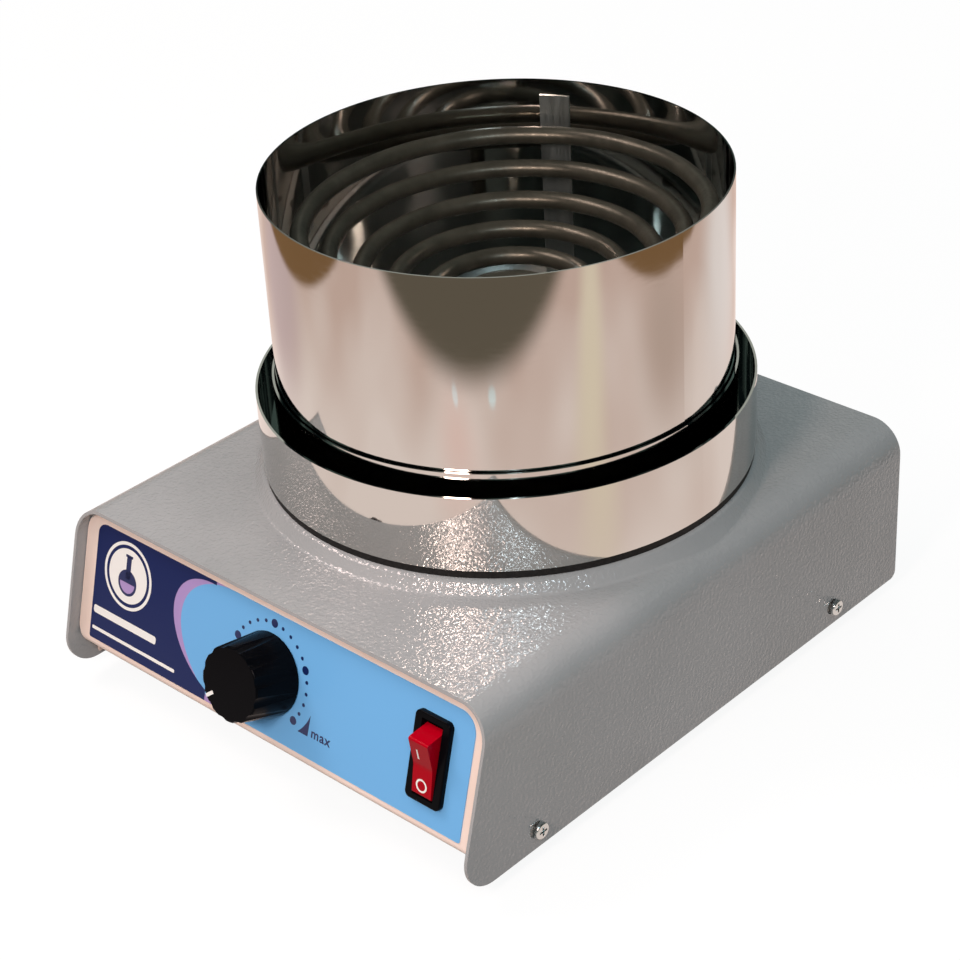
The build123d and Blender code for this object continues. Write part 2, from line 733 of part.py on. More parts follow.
strap_outer = shield_bore - strap_seat
strap_half_angle = math.degrees(strap_width / 2 / shield_bore)
with BuildPart() as seam_strap:
    with BuildSketch(heater_plane(pan_floor + strap_foot_gap)):
        with BuildLine():
            CenterArc((0, 0), strap_outer, strap_angle - strap_half_angle, 2 * strap_half_angle)
            CenterArc(
                (0, 0),
                strap_outer - strap_thickness,
                strap_angle - strap_half_angle,
                2 * strap_half_angle,
            )
            for edge_angle in (strap_angle - strap_half_angle, strap_angle + strap_half_angle):
                PolarLine(
                    (
                        (strap_outer - strap_thickness) * math.cos(math.radians(edge_angle)),
                        (strap_outer - strap_thickness) * math.sin(math.radians(edge_angle)),
                    ),
                    strap_thickness,
                    edge_angle,
                )
        make_face()
    extrude(amount=shield_height - strap_foot_gap - strap_top_gap)
save(seam_strap, "seam_strap")

with BuildPart() as insulation_pad:
    with BuildSketch(heater_plane(pan_floor)):
        Circle(pad_radius)
        with Locations([(x, y - heater_setback) for x, y in stack_points]):
            Circle(m4_head_radius + pad_clearance, mode=Mode.SUBTRACT)
        with Locations([(x, y - heater_setback) for x, y in leg_points]):
            Circle(gland_collar_radius + hole_clearance, mode=Mode.SUBTRACT)
    extrude(amount=pad_thickness)
save(insulation_pad, "insulation_pad")

with BuildPart() as reflector:
    with BuildSketch(Plane.XZ.offset(-heater_setback)):
        with BuildLine():
            FilletPolyline(
                (0, pad_top),
                (reflector_radius, pad_top),
                (reflector_radius, pad_top + reflector_wall + reflector_rim),
                radius=reflector_rim_round,
            )
            offset(amount=reflector_wall, side=Side.LEFT)
        make_face()
    revolve(axis=Axis((0, heater_setback, 0), (0, 0, 1)))
    with BuildSketch(heater_plane(pad_top)):
        with Locations((inner_leg.X, inner_leg.Y - heater_setback)):
            Circle(tube_radius + hole_clearance)
    extrude(amount=2 * reflector_wall, mode=Mode.SUBTRACT)
save(reflector, "reflector")

# ---------------------------------------------------------------- tubular element
coil_corner_radii = [coil_roundness * coil_reach(turn) for turn in coil_turn_marks]
with BuildPart() as heating_element:
    with BuildLine() as element_path:
        FilletPolyline(
            (outer_leg.X, outer_leg.Y, leg_end),
            outer_leg,
            *coil_track,
            inner_leg,
            (inner_leg.X, inner_leg.Y, leg_end),
            radius=[outer_leg_bend, *coil_corner_radii, inner_leg_bend],
        )
    with BuildSketch(Plane(origin=(outer_leg.X, outer_leg.Y, leg_end), z_dir=(0, 0, 1))):
        Circle(tube_radius)
    sweep()
element_length = sum(edge.length for edge in element_path.edges())
print("element", heating_element.part.volume, element_length * math.pi * tube_radius**2)
save(heating_element, "heating_element")

with BuildPart() as element_pins:
    with BuildSketch(Plane.XY.offset(leg_end)):
        with Locations(leg_points):
            Circle(pin_radius)
    extrude(amount=-pin_length)
    with BuildSketch(Plane.XY.offset(leg_end - pin_length)):
        with Locations(leg_points):
            Rectangle(tab_width, tab_thickness)
    extrude(amount=-tab_length)
save(element_pins, "element_pins")

with BuildPart() as element_glands:
    with BuildSketch(Plane.XY.offset(pan_floor)):
        with Locations(leg_points):
            Circle(gland_collar_radius)
    extrude(amount=gland_head)
    with BuildSketch(Plane.XY.offset(pan_floor)):
        with Locations(leg_points):
            Circle(gland_radius)
    extrude(amount=-gland_length)
    with BuildSketch(Plane.XY.offset(pan_floor + gland_head)):
        with Locations(leg_points):
            Circle(tube_radius + gland_bore_clearance)
    extrude(amount=-(gland_length + gland_head), mode=Mode.SUBTRACT)
save(element_glands, "element_glands")

with BuildPart() as gland_nuts:
    for leg, level in zip(leg_points, leg_seats):
        with BuildSketch(Plane.XY.offset(level)):
            with Locations(leg):
                RegularPolygon(gland_flats / 2, 6, major_radius=False)
                Circle(gland_radius + shaft_running_clearance, mode=Mode.SUBTRACT)
        extrude(amount=-gland_nut_height)
save(gland_nuts, "gland_nuts")

# ---------------------------------------------------------------- stack screws and baffle
stack_nut_under = baffle_under - m4_nut_height
with BuildPart() as stack_screw_set:
    with BuildSketch(Plane.XY.offset(pan_floor)):
        with Locations(stack_points):
            Circle(m4_head_radius)
    extrude(amount=m4_head_height)
    fillet(stack_screw_set.faces().filter_by(Axis.Z).group_by(Axis.Z)[-1].edges(), m4_head_height / 3)
    with BuildSketch(Plane.XY.offset(pan_floor)):
        with Locations(stack_points):
            Circle(m4_radius)
    extrude(amount=stack_nut_under - thread_end - pan_floor)
save(stack_screw_set, "stack_screws")

with BuildPart() as stack_spacers:
    with BuildSketch(Plane.XY.offset(baffle_top)):
        with Locations(stack_points):
            Circle(spacer_radius)
            Circle(m4_radius + m4_clearance, mode=Mode.SUBTRACT)
    extrude(amount=spacer_length)
save(stack_spacers, "stack_spacers")

with BuildPart() as heat_baffle:
    with BuildSketch(heater_plane(baffle_under)):
        Circle(baffle_radius)
        with Locations([(x, y - heater_setback) for x, y in stack_points]):
            Circle(m4_radius + m4_clearance, mode=Mode.SUBTRACT)
        with Locations([(x, y - heater_setback) for x, y in leg_points]):
            Circle(tube_radius + 3 * hole_clearance, mode=Mode.SUBTRACT)
    extrude(amount=baffle_thickness)
save(heat_baffle, "heat_baffle")

with BuildPart() as stack_nuts:
    with BuildSketch(Plane.XY.offset(baffle_under)):
        with Locations(stack_points):
            RegularPolygon(m4_nut_flats / 2, 6, major_radius=False)
            Circle(m4_radius + shaft_running_clearance, mode=Mode.SUBTRACT)
    extrude(amount=-m4_nut_height)
save(stack_nuts, "stack_nuts")

# ---------------------------------------------------------------- cover screws
with BuildPart() as cover_screws:
    for side in (-1, 1):
        for y in cover_screw_ys:
            screw_seat = Plane(
                origin=(side * case_width / 2, y, case_foot + cover_screw_height),
                x_dir=(0, 1, 0),
                z_dir=(side, 0, 0),
            )
            with BuildSketch(screw_seat):
                Circle(m3_head_radius)
            extrude(amount=m3_head_height)
            with BuildSketch(screw_seat):
                Circle(m3_radius)
            extrude(amount=-m3_length)
    for side_faces in (cover_screws.faces().group_by(Axis.X)[0], cover_screws.faces().group_by(Axis.X)[-1]):
        fillet(side_faces.edges(), m3_head_height / 3)
    for side in (-1, 1):
        head_top = Plane(
            origin=(side * (case_width / 2 + m3_head_height), 0, case_foot + cover_screw_height),
            x_dir=(0, 1, 0),
            z_dir=(side, 0, 0),
        )
        with BuildSketch(head_top):
            with Locations([(y, 0) for y in cover_screw_ys]):
                Rectangle(cross_length, cross_width)
                Rectangle(cross_width, cross_length)
        extrude(amount=-cross_depth, mode=Mode.SUBTRACT)
save(cover_screws, "cover_screws")

# ---------------------------------------------------------------- feet
with BuildPart() as feet:
    with BuildSketch(Plane.XY.offset(floor_under)):
        with Locations(foot_points):
            Circle(foot_top_radius)
    with BuildSketch():
        with Locations(foot_points):
            Circle(foot_sole_radius)
    for foot_point in foot_points:
        with Locations((foot_point[0], foot_point[1], 0)):
            Cone(
                foot_sole_radius,
                foot_top_radius,
                floor_under,
                align=(Align.CENTER, Align.CENTER, Align.MIN),
            )
            Cylinder(
                foot_recess_radius,
                foot_recess_depth,
                align=(Align.CENTER, Align.CENTER, Align.MIN),
                mode=Mode.SUBTRACT,
            )
            Cylinder(
                m4_radius + m4_clearance,
                floor_under,
                align=(Align.CENTER, Align.CENTER, Align.MIN),
                mode=Mode.SUBTRACT,
            )
save(feet, "feet")

with BuildPart() as foot_screws:
    with BuildSketch(Plane.XY.offset(foot_recess_depth)):
        with Locations(foot_points):
            Circle(m4_head_radius)
    extrude(amount=-m4_head_height)
    with BuildSketch(Plane.XY.offset(foot_recess_depth)):
        with Locations(foot_points):
            Circle(m4_radius)
    extrude(amount=floor_top + m4_nut_height + thread_end - foot_recess_depth)
save(foot_screws, "foot_screws")

with BuildPart() as foot_nuts:
    with BuildSketch(Plane.XY.offset(floor_top)):
        with Locations(foot_points):
            RegularPolygon(m4_nut_flats / 2, 6, major_radius=False)
            Circle(m4_radius + shaft_running_clearance, mode=Mode.SUBTRACT)
    extrude(amount=m4_nut_height)
save(foot_nuts, "foot_nuts")

# ---------------------------------------------------------------- mains inlet
inlet_plane = placed(rear_plane, (inlet_x, inlet_height, 0))
with BuildPart() as inlet_body:
    with BuildSketch(inlet_plane):
        RectangleRounded(inlet_flange_width, inlet_flange_height, inlet_flange_round)
        with GridLocations(inlet_screw_pitch, 0, 2, 1):
            Circle(m3_radius + m4_clearance, mode=Mode.SUBTRACT)
    extrude(amount=inlet_flange_thickness)
    with BuildSketch(inlet_plane) as inlet_case:
        Rectangle(inlet_body_width, inlet_body_height)
        chamfer(inlet_case.vertices().group_by(Axis.Y)[-1], inlet_body_chamfer)
    extrude(amount=-inlet_body_depth)
    with BuildSketch(placed(inlet_plane, (0, 0, inlet_flange_thickness))) as inlet_socket:
        Rectangle(inlet_socket_width, inlet_socket_height)
        chamfer(inlet_socket.vertices().group_by(Axis.Y)[-1], inlet_socket_chamfer)
    extrude(amount=-inlet_socket_depth, mode=Mode.SUBTRACT)
save(inlet_body, "inlet_body")

inlet_socket_floor = inlet_flange_thickness - inlet_socket_depth
blade_points = [(-blade_spread, 0), (blade_spread, 0), (0, earth_blade_rise)]
with BuildPart() as inlet_blades:
    with BuildSketch(placed(inlet_plane, (0, 0, inlet_socket_floor))):
        with Locations(blade_points):
            Rectangle(blade_width, blade_height)
    extrude(amount=blade_length)
save(inlet_blades, "inlet_blades")

with BuildPart() as inlet_tabs:
    with BuildSketch(placed(inlet_plane, (0, 0, -inlet_body_depth))):
        with Locations(blade_points):
            Rectangle(tab_thickness, tab_width)
    extrude(amount=-blade_tail)
save(inlet_tabs, "inlet_tabs")

inlet_screw_points = [(-inlet_screw_pitch / 2, 0), (inlet_screw_pitch / 2, 0)]
with BuildPart() as inlet_screws:
    for point in inlet_screw_points:
        screw_seat = placed(inlet_plane, (point[0], point[1], inlet_flange_thickness))
        with BuildSketch(screw_seat):
            Circle(m3_head_radius)
        extrude(amount=m3_head_height)
        with BuildSketch(screw_seat):
            Circle(m3_radius)
        extrude(amount=-(inlet_flange_thickness + sheet + m4_nut_height + thread_end))
    fillet(inlet_screws.faces().group_by(Axis.Y)[-1].edges(), m3_head_height / 3)
save(inlet_screws, "inlet_screws")

with BuildPart() as inlet_nuts:
    with BuildSketch(placed(inlet_plane, (0, 0, -sheet))):
        with Locations(inlet_screw_points):
            RegularPolygon(m4_nut_flats / 2 - m3_radius / 2, 6, major_radius=False)
            Circle(m3_radius + shaft_running_clearance, mode=Mode.SUBTRACT)
    extrude(amount=-m4_nut_height)
save(inlet_nuts, "inlet_nuts")

# ---------------------------------------------------------------- terminal block, earth screw
block_width = block_poles * block_pole_pitch
with BuildPart() as terminal_block:
    with Locations((block_x, block_y, floor_top)):
        Box(block_width, block_depth, block_height, align=(Align.CENTER, Align.CENTER, Align.MIN))
    fillet(terminal_block.edges().filter_by(Axis.Z), block_corner)
    with BuildSketch(Plane.XZ.offset(-block_y)):
        with Locations((block_x, floor_top + 0.45 * block_height)):
            with GridLocations(block_pole_pitch, 0, block_poles, 1):
                Circle(block_bore_radius)
    extrude(amount=block_depth, both=True, mode=Mode.SUBTRACT)
    with BuildSketch(Plane.XY.offset(floor_top + block_height)):
        with Locations((block_x, block_y)):
            with GridLocations(block_pole_pitch, 0, block_poles, 1):
                Circle(block_screw_radius + hole_clearance)
    extrude(amount=-block_screw_depth, mode=Mode.SUBTRACT)
save(terminal_block, "terminal_block")

with BuildPart() as terminal_screws:
    with BuildSketch(Plane.XY.offset(floor_top + block_height - block_screw_depth)):
        with Locations((block_x, block_y)):
            with GridLocations(block_pole_pitch, 0, block_poles, 1):
                Circle(block_screw_radius)
    extrude(amount=block_screw_depth - block_screw_sink)
save(terminal_screws, "terminal_screws")

with BuildPart() as earth_screw:
    with BuildSketch(Plane.XY.offset(floor_under)):
        with Locations((earth_x, earth_y)):
            Circle(m4_head_radius)
    extrude(amount=-m4_head_height)
    with BuildSketch(Plane.XY.offset(floor_under)):
        with Locations((earth_x, earth_y)):
            Circle(m4_radius)
    extrude(amount=earth_length)
save(earth_screw, "earth_screw")

with BuildPart() as earth_nut:
    with BuildSketch(Plane.XY.offset(floor_top)):
        with Locations((earth_x, earth_y)):
            RegularPolygon(m4_nut_flats / 2, 6, major_radius=False)
            Circle(m4_radius + shaft_running_clearance, mode=Mode.SUBTRACT)
    extrude(amount=m4_nut_height)
save(earth_nut, "earth_nut")
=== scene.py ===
import bmesh
import bpy
import json
import math
from mathutils import Euler, Matrix, Vector


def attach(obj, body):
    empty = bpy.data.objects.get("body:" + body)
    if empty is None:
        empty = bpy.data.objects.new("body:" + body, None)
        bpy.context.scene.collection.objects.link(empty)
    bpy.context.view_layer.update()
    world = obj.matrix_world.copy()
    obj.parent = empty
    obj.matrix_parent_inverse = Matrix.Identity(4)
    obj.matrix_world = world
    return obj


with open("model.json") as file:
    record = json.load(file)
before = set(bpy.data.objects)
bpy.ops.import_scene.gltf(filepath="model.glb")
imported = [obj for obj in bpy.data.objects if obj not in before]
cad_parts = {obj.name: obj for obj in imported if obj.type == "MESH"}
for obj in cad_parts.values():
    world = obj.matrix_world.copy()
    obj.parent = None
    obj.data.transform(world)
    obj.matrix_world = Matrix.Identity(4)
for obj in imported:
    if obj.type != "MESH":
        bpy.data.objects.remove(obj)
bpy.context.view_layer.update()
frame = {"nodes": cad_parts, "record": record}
print("frame loaded")

# the panel leans back from its foot; on it x runs to the right, y up the panel and z out of it
panelSettings = {
    "lean": 16.0,
    "foot": (0.0, -0.1152, 0.006),  # middle of the panel's lower edge, in metres
    "knob": 38.5,  # the knob's axis above the foot, in mm along the panel
}
panelLean = math.radians(panelSettings["lean"])
panelUpright = Euler((math.pi / 2 - panelLean, 0, 0)).to_matrix().to_4x4()
panelTurn = Matrix.Translation(panelSettings["foot"]) @ panelUpright
panelNormal = panelUpright.to_3x3() @ Vector((0, 0, 1))


def linear(hexCode):  # sRGB hex to the linear colour that a socket takes
    channels = [int(hexCode[i:i + 2], 16) / 255 for i in (1, 3, 5)]
    return tuple(c / 12.92 if c <= 0.04045 else ((c + 0.055) / 1.055) ** 2.4 for c in channels) + (1.0,)


def addNode(tree, kind, settings, inputs):  # a socket among the inputs is linked, anything else is a value
    node = tree.nodes.new("ShaderNode" + kind)
    for name, value in settings.items():
        setattr(node, name, value)
    for key, value in inputs.items():
        if isinstance(value, bpy.types.NodeSocket):
            tree.links.new(value, node.inputs[key])
        else:
            node.inputs[key].default_value = value
    return node


def mixColour(tree, share, first, second):  # each colour is a hex code or a socket
    first, second = (linear(colour) if isinstance(colour, str) else colour for colour in (first, second))
    return addNode(tree, "Mix", {"data_type": "RGBA"}, {0: share, 6: first, 7: second}).outputs[2]


def startMaterial(name, hexCode, **values):  # values are the shader's own sockets, with _ for a space
    material = bpy.data.materials.new(name)
    material.use_nodes = True
    tree = material.node_tree
    shader = tree.nodes["Principled BSDF"]
    shader.inputs["Base Color"].default_value = linear(hexCode)
    for key, value in values.items():
        shader.inputs[key.replace("_", " ")].default_value = value
    place = addNode(tree, "TexCoord", {}, {}).outputs["Object"]
    return material, tree, shader, place


def patternScale(millimetres):  # noise cells per metre for a feature of that size
    return 1000 / millimetres


def varyColour(tree, shader, place, hexA, hexB, millimetres):
    noise = addNode(tree, "TexNoise", {}, {"Vector": place, "Scale": patternScale(millimetres), "Detail": 4.0})
    ramp = addNode(tree, "ValToRGB", {}, {"Fac": noise.outputs["Fac"]})
    for element, position, hexCode in zip(ramp.color_ramp.elements, (0.35, 0.65), (hexA, hexB)):
        element.position = position
        element.color = linear(hexCode)
    tree.links.new(ramp.outputs["Color"], shader.inputs["Base Color"])
    return noise


def varyRoughness(tree, shader, place, millimetres, low, high, stretch=(1, 1, 1)):
    mapped = addNode(tree, "Mapping", {}, {"Vector": place, "Scale": stretch})
    pattern = {"Vector": mapped.outputs[0], "Scale": patternScale(millimetres), "Detail": 5.0}
    noise = addNode(tree, "TexNoise", {}, pattern)
    limits = {"From Min": 0.3, "From Max": 0.7, "To Min": low, "To Max": high}
    spread = addNode(tree, "MapRange", {}, {"Value": noise.outputs["Fac"], **limits})
    tree.links.new(spread.outputs[0], shader.inputs["Roughness"])
    return noise


def addBump(tree, shader, height, depth, layer="Normal"):  # depth in millimetres
    bump = addNode(tree, "Bump", {}, {"Height": height, "Distance": depth / 1000})
    tree.links.new(bump.outputs[0], shader.inputs[layer])


def hammerEnamelMaterial():  # stoving enamel sprayed thick: rounded orange peel that glints under a lamp
    clearCoat = {"Coat_Weight": 1.0, "Coat_Roughness": 0.14, "Coat_IOR": 1.6}
    material, tree, shader, place = startMaterial(
        "hammerEnamel", "#9a9b9d", Roughness=0.55, Specular_IOR_Level=0.05, **clearCoat)
    varyColour(tree, shader, place, "#959798", "#9fa0a1", 60)
    pattern = {"Scale": patternScale(1.3), "Detail": 1.0, "Roughness": 0.35, "Distortion": 0.3}
    peel = addNode(tree, "TexNoise", {}, {"Vector": place, **pattern})
    addBump(tree, shader, peel.outputs["Fac"], 0.1)  # the colour layer is nearly flat
    addBump(tree, shader, peel.outputs["Fac"], 0.42, "Coat Normal")
    return material


def trayEnamelMaterial():  # smooth cream enamel with a soft shine
    material, tree, shader, place = startMaterial("trayEnamel", "#ecd6ca", Roughness=0.38)
    varyColour(tree, shader, place, "#e9d2c5", "#f0dcd1", 45)
    peel = addNode(tree, "TexNoise", {}, {"Vector": place, "Scale": patternScale(2.2), "Detail": 1.0})
    addBump(tree, shader, peel.outputs["Fac"], 0.02)
    return material


def mirrorSteelMaterial():  # stainless sheet, mirror polished, with faint rolling marks round it
    material, tree, shader, place = startMaterial("mirrorSteel", "#cfcdc9", Metallic=1.0, Roughness=0.045)
    varyRoughness(tree, shader, place, 6, 0.0315, 0.0675, stretch=(1, 1, 5))
    return material


def satinSteelMaterial():  # ground stainless with fine upright scratches
    material, tree, shader, place = startMaterial("satinSteel", "#a6adab", Metallic=1.0, Roughness=0.35)
    scratches = varyRoughness(tree, shader, place, 0.6, 0.28, 0.46, stretch=(1, 1, 0.04))
    addBump(tree, shader, scratches.outputs["Fac"], 0.01)
    return material


def elementSheathMaterial():  # alloy tube browned by heat, with a fine grainy scale on it
    material, tree, shader, place = startMaterial("elementSheath", "#4d4a41", Metallic=0.65, Roughness=0.36)
    varyColour(tree, shader, place, "#46443b", "#545147", 9)
    grain = varyRoughness(tree, shader, place, 1.2, 0.28, 0.45)
    addBump(tree, shader, grain.outputs["Fac"], 0.03)
    return material


def platedMaterial(name, hexCode, rough):  # bright plate on turned and stamped metal
    material, tree, shader, place = startMaterial(name, hexCode, Metallic=1.0, Roughness=rough)
    varyRoughness(tree, shader, place, 0.8, rough * 0.8, rough * 1.3)
    return material


def mouldedMaterial(name, hexCode, rough, grain=0.5, depth=0.008, **values):
    # moulded plastic with a fine eroded grain; grain and depth in millimetres
    material, tree, shader, place = startMaterial(name, hexCode, Roughness=rough, **values)
    eroded = varyRoughness(tree, shader, place, grain, rough * 0.9, rough * 1.15)
    addBump(tree, shader, eroded.outputs["Fac"], depth)
    return material


def boardMaterial():  # heat-resistant laminate, dull and nearly black, with faintly lighter flecks all over
    material, tree, shader, place = startMaterial(
        "insulatingLaminate", "#161514", Roughness=0.6, Specular_IOR_Level=0.3)
    varyColour(tree, shader, place, "#100f0f", "#1f1d1c", 1.5)
    return material


def feltMaterial():  # ceramic fibre felt, chalk white with a matted surface
    material, tree, shader, place = startMaterial("ceramicFelt", "#ddd9d0", Roughness=0.95)
    fibres = varyColour(tree, shader, place, "#cfcac0", "#e8e5de", 1.2)
    addBump(tree, shader, fibres.outputs["Fac"], 0.2)
    return material


# the printed film's artwork, in mm and degrees on the panel
artwork = {
    "navy": "#0e2054",
    "lilac": "#a98fc4",
    "blue": "#6fb0e4",
    # each ellipse: centre, semi-axes and turn
    "crescent": ((-24.0, 38.28), (19.02, 27.23), 61.35),
    "field": ((-9.46, 34.69), (23.77, 37.55), 68.55),
    "ends": (-29.5, -21.0),  # how far right the navy and the lilac reach
    "edge": 0.003,  # softness of a printed edge, as a share of its ellipse
}


def printedFilmMaterial():  # polyester film printed from behind: flat colours under a satin skin
    material, tree, shader, place = startMaterial(
        "printedFilm", artwork["blue"], Roughness=0.32, Specular_IOR_Level=0.2)
    foot = Euler((panelLean, 0, 0)).to_matrix() @ Vector(panelSettings["foot"]) * 1000
    upright = {"Scale": (1000, 1000, 1000), "Rotation": (panelLean, 0, 0), "Location": -foot}
    flat = addNode(tree, "Mapping", {"vector_type": "POINT"}, {"Vector": place, **upright})
    parts = addNode(tree, "SeparateXYZ", {}, {"Vector": flat.outputs[0]})
    onPanel = addNode(tree, "CombineXYZ", {}, {"X": parts.outputs["X"], "Y": parts.outputs["Z"]})

    def outside(ellipse):  # 1 outside the ellipse, 0 inside
        (x, y), (halfX, halfY), turn = ellipse
        moved = addNode(tree, "VectorMath", {"operation": "SUBTRACT"}, {0: onPanel.outputs[0], 1: (x, y, 0)})
        spin = {"Vector": moved.outputs[0], "Angle": -math.radians(turn)}
        turned = addNode(tree, "VectorRotate", {"rotation_type": "Z_AXIS"}, spin)
        scaled = addNode(tree, "VectorMath", {"operation": "DIVIDE"}, {0: turned.outputs[0], 1: (halfX, halfY, 1)})
        reach = addNode(tree, "VectorMath", {"operation": "LENGTH"}, {0: scaled.outputs[0]}).outputs["Value"]
        limits = {"From Min": 1 - artwork["edge"], "From Max": 1 + artwork["edge"]}
        return addNode(tree, "MapRange", {}, {"Value": reach, **limits}).outputs[0]

    def leftOf(end):
        return addNode(tree, "Math", {"operation": "LESS_THAN"}, {0: parts.outputs["X"], 1: end}).outputs[0]

    navyLeft, lilacLeft = (leftOf(end) for end in artwork["ends"])
    lilac = addNode(tree, "Math", {"operation": "MULTIPLY"}, {0: outside(artwork["field"]), 1: lilacLeft})
    navy = addNode(tree, "Math", {"operation": "MULTIPLY"}, {0: outside(artwork["crescent"]), 1: navyLeft})
    twoColours = mixColour(tree, lilac.outputs[0], artwork["blue"], artwork["lilac"])
    allColours = mixColour(tree, navy.outputs[0], twoColours, artwork["navy"])
    tree.links.new(allColours, shader.inputs["Base Color"])
    grain = varyRoughness(tree, shader, place, 1.0, 0.28, 0.36)
    addBump(tree, shader, grain.outputs["Fac"], 0.006)
    return material


navyInk = mouldedMaterial("navyInk", artwork["navy"], 0.35)
whiteInk = mouldedMaterial("whiteInk", "#efeeea", 0.4)
lilacInk = mouldedMaterial("lilacInk", artwork["lilac"], 0.35)

finishOfSlot = {
    "cover_paint": hammerEnamelMaterial(),
    "chassis_paint": trayEnamelMaterial(),
    "label_film": printedFilmMaterial(),
    "polished_steel": mirrorSteelMaterial(),
    "satin_steel": satinSteelMaterial(),
    "element_steel": elementSheathMaterial(),
    "zinc_steel": platedMaterial("zincPlate", "#cfd3d2", 0.24),
    "nickel_brass": platedMaterial("nickelPlate", "#c2b79a", 0.28),
    "black_plastic": mouldedMaterial("blackAbs", "#06070a", 0.24, Specular_IOR_Level=0.04),
    "red_plastic": mouldedMaterial(
        "redPolycarbonate", "#a80017", 0.18, grain=2.0, depth=0.002, Specular_IOR_Level=0.06),
    "insulating_board": boardMaterial(),
    "ceramic_fibre": feltMaterial(),
    "phenolic": mouldedMaterial("phenolic", "#2c211b", 0.4),
    "white_plastic": mouldedMaterial("whiteNylon", "#dcdad3", 0.45),
    "foot_rubber": mouldedMaterial("footRubber", "#161616", 0.7, grain=0.9, depth=0.02),
}
for entry in frame["record"]["subparts"]:
    node = frame["nodes"][entry["node"]]
    node.data.materials.clear()
    node.data.materials.append(finishOfSlot[entry["material_slot"]])
print("finishes made")


def finishPiece(name, bm, material, body="case", facing=None):  # facing: the outward side of a flat mark
    mesh = bpy.data.meshes.new(name)
    bmesh.ops.remove_doubles(bm, verts=bm.verts, dist=1e-7)
    bmesh.ops.recalc_face_normals(bm, faces=bm.faces)
    if facing is not None:
        bm.normal_update()
        bmesh.ops.reverse_faces(bm, faces=[face for face in bm.faces if face.normal.dot(facing) < 0])
    bm.to_mesh(mesh)
    bm.free()
    mesh.materials.append(material)
    mesh.shade_smooth()
    mesh.set_sharp_from_angle(angle=math.radians(35))
    piece = bpy.data.objects.new(name, mesh)
    bpy.context.scene.collection.objects.link(piece)
    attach(piece, body)


def toMetres(bm, place):  # a mark drawn in mm, then put in its place
    bmesh.ops.scale(bm, vec=(0.001, 0.001, 0.001), verts=bm.verts)
    bmesh.ops.transform(bm, matrix=place, verts=bm.verts)


filmLift = 0.34  # marks lie this far over the panel, in mm, just clear of the film


def filmMark(name, bm, material):  # a mark drawn in mm on the panel, laid on the film
    toMetres(bm, panelTurn @ Matrix.Translation((0, 0, filmLift / 1000)))
    finishPiece(name, bm, material, facing=panelNormal)


def addDisc(bm, x, y, radius, segments, lift=0.0):
    place = Matrix.Translation((x, y, lift))
    return bmesh.ops.create_circle(bm, cap_ends=True, segments=segments, radius=radius, matrix=place)["verts"]


def addRing(bm, x, y, outer, inner, segments=64):
    place = Matrix.Translation((x, y, 0))
    rings = []
    for radius in (outer, inner):
        rings.append(bmesh.ops.create_circle(bm, segments=segments, radius=radius, matrix=place)["verts"])
    edges = {edge for ring in rings for vert in ring for edge in vert.link_edges}
    bmesh.ops.bridge_loops(bm, edges=list(edges))


def addRectangle(bm, x, y, width, height, lift=0.0):
    place = Matrix.Translation((x, y, lift)) @ Matrix.Diagonal((width, height, 1, 1))
    return bmesh.ops.create_grid(bm, x_segments=1, y_segments=1, size=0.5, matrix=place)["verts"]


# marks: lengths in mm and angles in degrees, on the panel unless a line says otherwise
dialSettings = {
    "radius": 18.3,
    "bigDot": 1.55,
    "smallDot": 0.68,
    "firstAngle": 221.0,
    "sweep": 262.0,
    "bigDots": 5,
    "between": 4,  # small dots from one big dot to the next
}


def dialDots():
    bm = bmesh.new()
    group = dialSettings["between"] + 1
    steps = (dialSettings["bigDots"] - 1) * group
    for k in range(steps + 1):
        angle = math.radians(dialSettings["firstAngle"] - dialSettings["sweep"] * k / steps)
        dot = dialSettings["bigDot"] if k % group == 0 else dialSettings["smallDot"]
        x, y = (dialSettings["radius"] * side for side in (math.cos(angle), math.sin(angle)))
        addDisc(bm, x, y + panelSettings["knob"], dot, 32)
    filmMark("dialDots", bm, navyInk)


wedgeSettings = {
    "tip": (21.6, 31.7),
    "baseLeft": (16.4, 23.7),
    "baseRight": (21.2, 23.7),
    "hollow": (20.0, 26.9),  # the left side bends towards this point
    "steps": 8,
}


def powerWedge():  # grows towards the hot end of the dial; its left side is hollow
    bm = bmesh.new()
    tip, left, hollow = (Vector(wedgeSettings[k]) for k in ("tip", "baseLeft", "hollow"))
    side = []
    for k in range(wedgeSettings["steps"] + 1):
        share = k / wedgeSettings["steps"]
        side.append(tip.lerp(hollow, share).lerp(hollow.lerp(left, share), share))
    points = side + [Vector(wedgeSettings["baseRight"])]
    bm.faces.new([bm.verts.new((point.x, point.y, 0)) for point in points])
    filmMark("powerWedge", bm, navyInk)


maxSettings = {"capital": 3.6, "place": (22.6, 24.1), "spacing": 1.12, "thicken": 0.11}
capitalShare = 0.72  # height of a capital as a share of Blender's own text size


def maxWord():
    curve = bpy.data.curves.new("maxWord", "FONT")
    curve.body = "max"
    curve.size = maxSettings["capital"] / capitalShare
    curve.space_character = maxSettings["spacing"]
    curve.offset = maxSettings["thicken"]
    holder = bpy.data.objects.new("maxWordCurve", curve)
    bpy.context.scene.collection.objects.link(holder)
    mesh = bpy.data.meshes.new_from_object(holder.evaluated_get(bpy.context.evaluated_depsgraph_get()))
    bpy.data.objects.remove(holder)
    bm = bmesh.new()
    bm.from_mesh(mesh)
    bmesh.ops.translate(bm, vec=(*maxSettings["place"], 0), verts=bm.verts)
    filmMark("maxWord", bm, navyInk)


